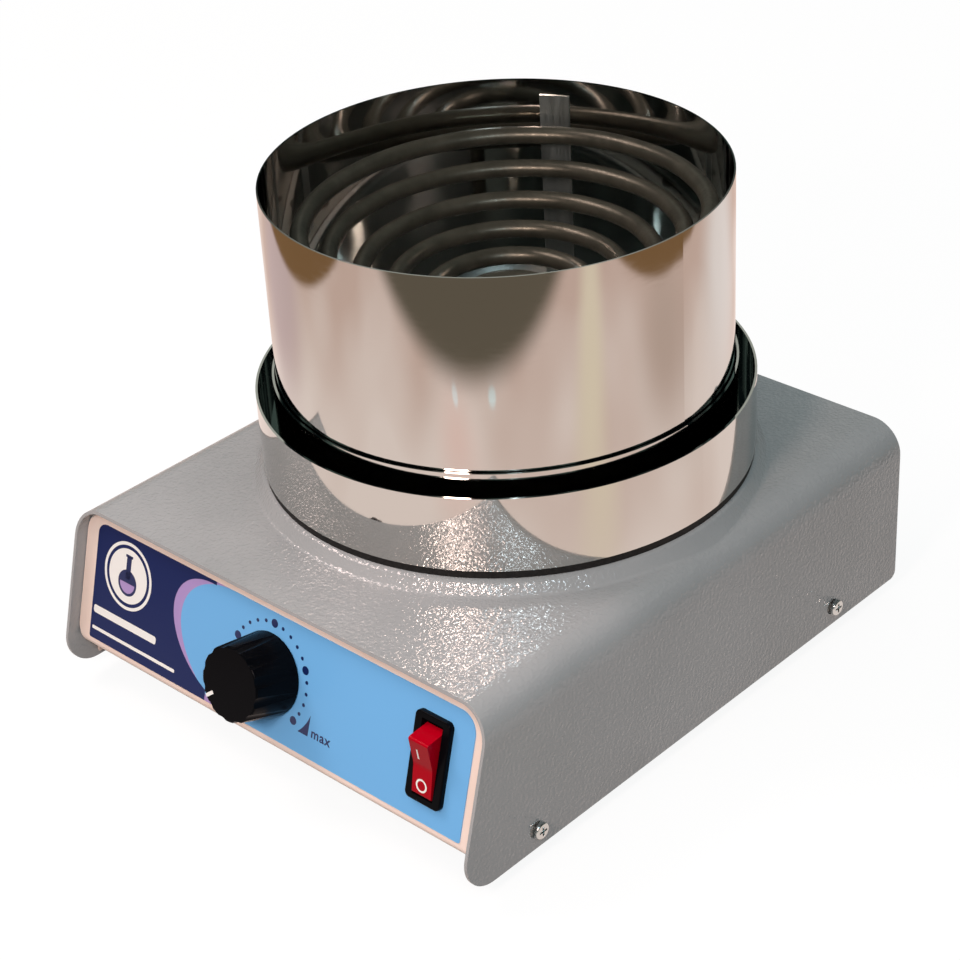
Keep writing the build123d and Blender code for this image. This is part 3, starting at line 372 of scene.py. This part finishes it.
emblemSettings = {
    "place": (-74.6, 45.9),
    "ring": (12.7, 11.5),  # outer and inner radius
    "disc": 10.2,
    "bulb": 4.9,
    "bulbDrop": 2.6,
    "neck": (2.5, 8.6),  # width and height
    "neckFoot": 1.5,  # above the bulb's middle
    "lip": (3.7, 1.0),
    "lipSink": 0.5,  # how far the lip laps the neck
    "liquid": 3.9,
    "layer": 0.03,  # each print lies this far over the one below
}


def labelEmblem():  # a round flask in a ring, the plain sign for this kind of heater
    x, y = emblemSettings["place"]
    bm = bmesh.new()
    addRing(bm, x, y, *emblemSettings["ring"])
    addDisc(bm, x, y, emblemSettings["disc"], 64)
    filmMark("labelEmblem", bm, whiteInk)
    bm = bmesh.new()
    bulb = y - emblemSettings["bulbDrop"]
    addDisc(bm, x, bulb, emblemSettings["bulb"], 48, emblemSettings["layer"])
    foot = bulb + emblemSettings["neckFoot"]
    for width, height in (emblemSettings["neck"], emblemSettings["lip"]):
        addRectangle(bm, x, foot + height / 2, width, height, emblemSettings["layer"])
        foot += height - emblemSettings["lipSink"]
    filmMark("emblemFlask", bm, navyInk)
    bm = bmesh.new()
    addDisc(bm, x, bulb, emblemSettings["liquid"], 48, 2 * emblemSettings["layer"])
    geometry = list(bm.verts) + list(bm.edges) + list(bm.faces)
    bmesh.ops.bisect_plane(bm, geom=geometry, plane_co=(x, bulb, 0), plane_no=(0, 1, 0), clear_outer=True)
    filmMark("emblemLiquid", bm, lilacInk)


stripeSettings = {
    "left": -91.0,
    "stripes": ((34.0, 27.6, 3.0), (45.0, 20.3, 1.3)),  # length, middle and height of each
    "corner": 0.3,  # share of the height
}


def labelStripes():  # two plain white stripes under the emblem
    bm = bmesh.new()
    for length, middle, height in stripeSettings["stripes"]:
        corners = addRectangle(bm, stripeSettings["left"] + length / 2, middle, length, height)
        bmesh.ops.bevel(bm, geom=list(corners), offset=height * stripeSettings["corner"], segments=4,
                        profile=0.5, affect="VERTICES", material=-1)
    filmMark("labelStripes", bm, whiteInk)


pointerSettings = {
    "angle": 218.0,
    "inner": 9.25,
    "outer": 13.15,
    "width": 1.25,
    "top": 18.34,  # over the panel, just under the knob's face
    "deep": 0.2,
}


def knobPointer():  # white inlay that nearly fills the knob's groove
    bm = bmesh.new()
    length = pointerSettings["outer"] - pointerSettings["inner"]
    middle = pointerSettings["top"] - pointerSettings["deep"] / 2
    place = Matrix.Translation((0, panelSettings["knob"], middle))
    place = place @ Matrix.Rotation(math.radians(pointerSettings["angle"]), 4, "Z")
    place = place @ Matrix.Translation((pointerSettings["inner"] + length / 2, 0, 0))
    place = place @ Matrix.Diagonal((length, pointerSettings["width"], pointerSettings["deep"], 1))
    bmesh.ops.create_cube(bm, size=1, matrix=place)
    toMetres(bm, panelTurn)
    finishPiece("knobPointer", bm, whiteInk, "regulator_spindle")


# all but the pivot is measured from the pivot, along the rocker's tilted length
rockerSettings = {
    "pivot": (75.8, 39.1, -3.2),
    "tilt": 15.0,
    "waist": 7.3,  # height of the rocker's lowest line, across its middle
    "rise": 9.0,  # degrees that each half rises from the waist
    "lift": 0.03,
    "line": (-1.2, 4.9, 0.65, 4.1),  # x, y, width, length
    "ring": (-0.15, -7.0, 2.4, 1.72),  # x, y, outer and inner radius
}


def rockerMarks():  # I on the raised half, O on the pressed half
    pivot = panelTurn @ Matrix.Translation([length / 1000 for length in rockerSettings["pivot"]])
    pivot = pivot @ Matrix.Rotation(math.radians(rockerSettings["tilt"]), 4, "X")
    bm = bmesh.new()
    addRectangle(bm, *rockerSettings["line"])
    addRing(bm, *rockerSettings["ring"], segments=40)
    slope = math.tan(math.radians(rockerSettings["rise"]))
    for vert in bm.verts:
        vert.co.z = rockerSettings["waist"] + rockerSettings["lift"] + abs(vert.co.y) * slope
    toMetres(bm, pivot)
    finishPiece("rockerMarks", bm, whiteInk, "switch_rocker", facing=panelNormal)


dialDots()
powerWedge()
maxWord()
labelEmblem()
labelStripes()
knobPointer()
rockerMarks()
print("marks made")

# the floor, in metres and degrees: white to the camera, to polished steel a warm sheet in a brown room
stageSettings = {
    "floorSize": 6.0,
    "paperShare": 0.9,  # the rest of the white paper is lit, and so keeps the object's shadow
    "paperUnlit": "#4c5659",
    "sheetTurn": 30.0,
    "sheetEnds": ((-0.385, 0.42), (-0.352, 0.6)),  # along its two sides
    "sheetBlur": ((0.014, 0.012), (0.045, 0.012)),
    "sheetNear": "#ffeee6",
    "sheetFar": "#e2c6b9",
    "sheetFade": (0.2, 0.42),  # from the near colour to the far one
    "cloud": 160,  # size in mm of the sheet's soft unevenness
    "cloudLimits": {"From Min": 0.35, "From Max": 0.65, "To Min": -0.35, "To Max": 0.35},
    # soft patches on the sheet, the last two being painted lamp highlights: middle, half length and half width, solid
    # share of those, colour
    "patches": (
        ((0.36, -0.04), (0.28, 0.055), 0.15, "#faead2"),
        ((0.11, -0.25), (0.06, 0.08), 0.0, "#ffe0d6"),
        ((-0.36, -0.05), (0.16, 0.16), 0.3, "#dcc4c2"),
        ((0.3, 0.18), (0.13, 0.13), 0.1, "#d3bbae"),
        ((0.1, 0.38), (0.16, 0.2), 0.2, "#fff4f0"),
        # painted lamp highlights: two small bright spots that the polished steel shows as reflected lamps
        ((0.123, -0.289), (0.008, 0.014), 0.5, "#ffffff"),
        ((0.201, -0.244), (0.012, 0.012), 0.5, "#f4ffff"),
    ),
    "roomFront": "#6d6456",
    "roomSides": "#8a6947",
    "roomTurn": (0.33, 0.38),  # from the front's colour to the sides'
}


def makeStage():
    bpy.ops.mesh.primitive_plane_add(size=stageSettings["floorSize"], location=(0, 0, 0))
    floor = bpy.context.object
    floor.name = "floor"
    material = bpy.data.materials.new("floorPaper")
    material.use_nodes = True
    tree = material.node_tree
    tree.nodes.clear()
    output = addNode(tree, "OutputMaterial", {}, {})
    place = addNode(tree, "TexCoord", {}, {}).outputs["Object"]
    softly = {"interpolation_type": "SMOOTHSTEP"}

    spin = {"Vector": place, "Angle": -math.radians(stageSettings["sheetTurn"])}
    turned = addNode(tree, "VectorRotate", {"rotation_type": "Z_AXIS"}, spin)
    parts = addNode(tree, "SeparateXYZ", {}, {"Vector": turned.outputs[0]})
    onSheet = None
    sides = zip("XY", stageSettings["sheetEnds"], stageSettings["sheetBlur"])
    for axis, (low, high), (lowBlur, highBlur) in sides:
        for end, inwards in ((low, lowBlur), (high, -highBlur)):
            limits = {"From Min": end, "From Max": end + inwards}
            inside = addNode(tree, "MapRange", softly, {"Value": parts.outputs[axis], **limits}).outputs[0]
            if onSheet is None:
                onSheet = inside
            else:
                onSheet = addNode(tree, "Math", {"operation": "MULTIPLY"}, {0: onSheet, 1: inside}).outputs[0]

    reach = addNode(tree, "VectorMath", {"operation": "LENGTH"}, {0: place})
    near, far = stageSettings["sheetFade"]
    fade = addNode(tree, "MapRange", {}, {"Value": reach.outputs["Value"], "From Min": near, "From Max": far})
    pattern = {"Scale": patternScale(stageSettings["cloud"]), "Detail": 1.0}
    cloud = addNode(tree, "TexNoise", {}, {"Vector": place, **pattern})
    uneven = addNode(tree, "MapRange", {}, {"Value": cloud.outputs["Fac"], **stageSettings["cloudLimits"]})
    depth = addNode(tree, "Math", {"operation": "ADD", "use_clamp": True}, {0: fade.outputs[0], 1: uneven.outputs[0]})
    sheet = mixColour(tree, depth.outputs[0], stageSettings["sheetNear"], stageSettings["sheetFar"])
    for middle, half, solid, hexCode in stageSettings["patches"]:
        offset = addNode(tree, "VectorMath", {"operation": "SUBTRACT"}, {0: place, 1: (*middle, 0)})
        scaled = addNode(tree, "VectorMath", {"operation": "DIVIDE"}, {0: offset.outputs[0], 1: (*half, 1)})
        away = addNode(tree, "VectorMath", {"operation": "LENGTH"}, {0: scaled.outputs[0]}).outputs["Value"]
        share = addNode(tree, "MapRange", softly, {"Value": away, "From Min": 1.0, "From Max": solid})
        sheet = mixColour(tree, share.outputs[0], sheet, hexCode)

    side = addNode(tree, "Math", {"operation": "ABSOLUTE"}, {0: parts.outputs["X"]})
    turnStart, turnEnd = stageSettings["roomTurn"]
    limits = {"From Min": turnStart, "From Max": turnEnd}
    beside = addNode(tree, "MapRange", {}, {"Value": side.outputs[0], **limits})
    room = mixColour(tree, beside.outputs[0], stageSettings["roomFront"], stageSettings["roomSides"])
    mirrored = mixColour(tree, onSheet, room, sheet)

    path = addNode(tree, "LightPath", {}, {})
    colour = mixColour(tree, path.outputs["Is Glossy Ray"], "#ffffff", mirrored)
    paperColour = mixColour(tree, path.outputs["Is Camera Ray"], stageSettings["paperUnlit"], "#ffffff")
    paper = addNode(tree, "BsdfDiffuse", {}, {"Color": paperColour})
    glow = addNode(tree, "Emission", {}, {"Color": colour, "Strength": 1.0})
    shown = {0: path.outputs["Is Camera Ray"], 1: stageSettings["paperShare"]}
    seen = addNode(tree, "Math", {"operation": "MULTIPLY"}, shown)
    share = addNode(tree, "Math", {"operation": "MAXIMUM"}, {0: seen.outputs[0], 1: path.outputs["Is Glossy Ray"]})
    mix = addNode(tree, "MixShader", {}, {0: share.outputs[0], 1: paper.outputs[0], 2: glow.outputs[0]})
    tree.links.new(mix.outputs[0], output.inputs[0])
    floor.data.materials.append(material)


# above the floor: white to the camera, daylight on the object, to polished steel a dark room with windows
roomSettings = {
    "daylight": (0.08, 1.0),  # strength at the horizon and overhead
    "dayTint": "#eaf4f5",
    "ceiling": "#0b1415",
    "patches": "#5d726d",
    "patchPattern": {"Scale": 2.2, "Detail": 1.5, "Distortion": 1.2},
    "patchLimits": {"From Min": 0.5, "From Max": 0.68},
    "horizon": "#84918c",
    "horizonLimits": {"From Min": 0.26, "From Max": 0.08},  # sine of the rise
    # bright windows: azimuth from the right, half width, lowest and highest rise in degrees, and colour
    "windows": (
        (138.0, 13.0, 24.0, 44.0, "#b9beb6"),
        (-165.0, 5.0, 35.0, 62.0, "#cfe0db"),
        (62.0, 4.0, 30.0, 55.0, "#d3e2dd"),
        (-20.0, 6.0, 38.0, 70.0, "#a9bdb6"),
        (100.0, 4.0, 45.0, 75.0, "#9fc4bd"),
        (-100.0, 4.0, 50.0, 80.0, "#9cc4bc"),
        (10.0, 3.0, 50.0, 70.0, "#c3a68c"),
    ),
    "windowSides": (1.3, 0.8),  # a window fades in between these shares of its half width
    "windowEdge": 3.0,  # degrees over which its lower and upper edge fade
}


def windowShare(tree, direction, rise, azimuth, halfWidth, lowest, highest):  # 1 inside the window, 0 outside
    spin = {"Vector": direction, "Angle": -math.radians(azimuth)}
    turned = addNode(tree, "VectorRotate", {"rotation_type": "Z_AXIS"}, spin)
    there = addNode(tree, "SeparateXYZ", {}, {"Vector": turned.outputs[0]})
    swing = addNode(tree, "Math", {"operation": "ARCTAN2"}, {0: there.outputs["Y"], 1: there.outputs["X"]})
    away = addNode(tree, "Math", {"operation": "ABSOLUTE"}, {0: swing.outputs[0]})
    outer, inner = (math.radians(halfWidth * side) for side in roomSettings["windowSides"])
    limits = {"From Min": outer, "From Max": inner}
    share = addNode(tree, "MapRange", {}, {"Value": away.outputs[0], **limits}).outputs[0]
    for edge, inwards in ((lowest, roomSettings["windowEdge"]), (highest, -roomSettings["windowEdge"])):
        limits = {"From Min": math.radians(edge), "From Max": math.radians(edge + inwards)}
        within = addNode(tree, "MapRange", {}, {"Value": rise, **limits})
        share = addNode(tree, "Math", {"operation": "MULTIPLY"}, {0: share, 1: within.outputs[0]}).outputs[0]
    return share


def makeRoom():
    world = bpy.data.worlds.new("studio")
    bpy.context.scene.world = world
    world.use_nodes = True
    tree = world.node_tree
    tree.nodes.clear()
    direction = addNode(tree, "TexCoord", {}, {}).outputs["Generated"]
    height = addNode(tree, "SeparateXYZ", {}, {"Vector": direction}).outputs["Z"]
    patch = addNode(tree, "TexNoise", {}, {"Vector": direction, **roomSettings["patchPattern"]})
    patchShare = addNode(tree, "MapRange", {}, {"Value": patch.outputs["Fac"], **roomSettings["patchLimits"]})
    colour = mixColour(tree, patchShare.outputs[0], roomSettings["ceiling"], roomSettings["patches"])
    low = addNode(tree, "MapRange", {}, {"Value": height, **roomSettings["horizonLimits"]})
    colour = mixColour(tree, low.outputs[0], colour, roomSettings["horizon"])
    rise = addNode(tree, "Math", {"operation": "ARCSINE"}, {0: height}).outputs[0]
    for *window, hexCode in roomSettings["windows"]:
        colour = mixColour(tree, windowShare(tree, direction, rise, *window), colour, hexCode)
    path = addNode(tree, "LightPath", {}, {})
    shown = mixColour(tree, path.outputs["Is Glossy Ray"], "#ffffff", colour)
    horizon, overhead = roomSettings["daylight"]
    soft = addNode(tree, "MapRange", {}, {"Value": height, "To Min": horizon, "To Max": overhead})
    strength = {0: path.outputs["Is Diffuse Ray"], 2: 1.0, 3: soft.outputs[0]}
    level = addNode(tree, "Mix", {"data_type": "FLOAT"}, strength)
    tinted = mixColour(tree, path.outputs["Is Diffuse Ray"], shown, roomSettings["dayTint"])
    sky = addNode(tree, "Background", {}, {"Color": tinted, "Strength": level.outputs[0]})
    addNode(tree, "OutputWorld", {}, {"Surface": sky.outputs[0]})


lampSettings = {
    # name: place and size in metres, watts, colour
    "keySoftbox": ((-1.05, -0.6, 1.65), 0.7, 15, "#ffe6e0"),
    "warmLamp": ((0.238, -0.695, 0.57), 0.17, 4.0, "#ffe3d8"),
    "coolLamp": ((0.53, -0.51, 0.6), 0.11, 1.4, "#dff4ff"),
}
lampAim = Vector((0, 0, 0.09))


def makeLamps():
    for name, (place, size, watts, hexCode) in lampSettings.items():
        lamp = bpy.data.lights.new(name, "AREA")
        lamp.shape = "DISK"
        lamp.size = size
        lamp.energy = watts
        lamp.color = linear(hexCode)[:3]
        holder = bpy.data.objects.new(name, lamp)
        holder.location = place
        holder.rotation_euler = (lampAim - Vector(place)).to_track_quat("-Z", "Y").to_euler()
        bpy.context.scene.collection.objects.link(holder)


cameraSettings = {
    "azimuth": 44.53,  # degrees round from the front, towards the right
    "elevation": 31.34,
    "roll": -3.44,
    "aim": (0.0, 0.0, 0.086),
    "right": 0.00142,  # small steps sideways and up from the line through the aim, in metres
    "up": -0.01486,
    "distance": 0.8568,
    "lens": 90.62,
    "sensor": 36.0,
    "clip": (0.01, 20.0),  # nearest and furthest distance seen, in metres
}


def makeCamera():
    azimuth, elevation, roll = (math.radians(cameraSettings[k]) for k in ("azimuth", "elevation", "roll"))
    level = math.cos(elevation)
    back = Vector((math.sin(azimuth) * level, -math.cos(azimuth) * level, math.sin(elevation)))
    right = (-back).cross(Vector((0, 0, 1))).normalized()
    up = right.cross(-back)
    place = Vector(cameraSettings["aim"]) + back * cameraSettings["distance"]
    place = place + right * cameraSettings["right"] + up * cameraSettings["up"]
    rolledRight = right * math.cos(roll) + up * math.sin(roll)
    rolledUp = up * math.cos(roll) - right * math.sin(roll)
    camera = bpy.data.cameras.new("camera")
    camera.lens = cameraSettings["lens"]
    camera.sensor_width = cameraSettings["sensor"]
    camera.clip_start, camera.clip_end = cameraSettings["clip"]
    holder = bpy.data.objects.new("camera", camera)
    holder.matrix_world = Matrix.Translation(place) @ Matrix((rolledRight, rolledUp, back)).transposed().to_4x4()
    bpy.context.scene.collection.objects.link(holder)
    bpy.context.scene.camera = holder


makeStage()
makeRoom()
makeLamps()
makeCamera()
bpy.context.scene.view_settings.view_transform = "Standard"
print("stage made")
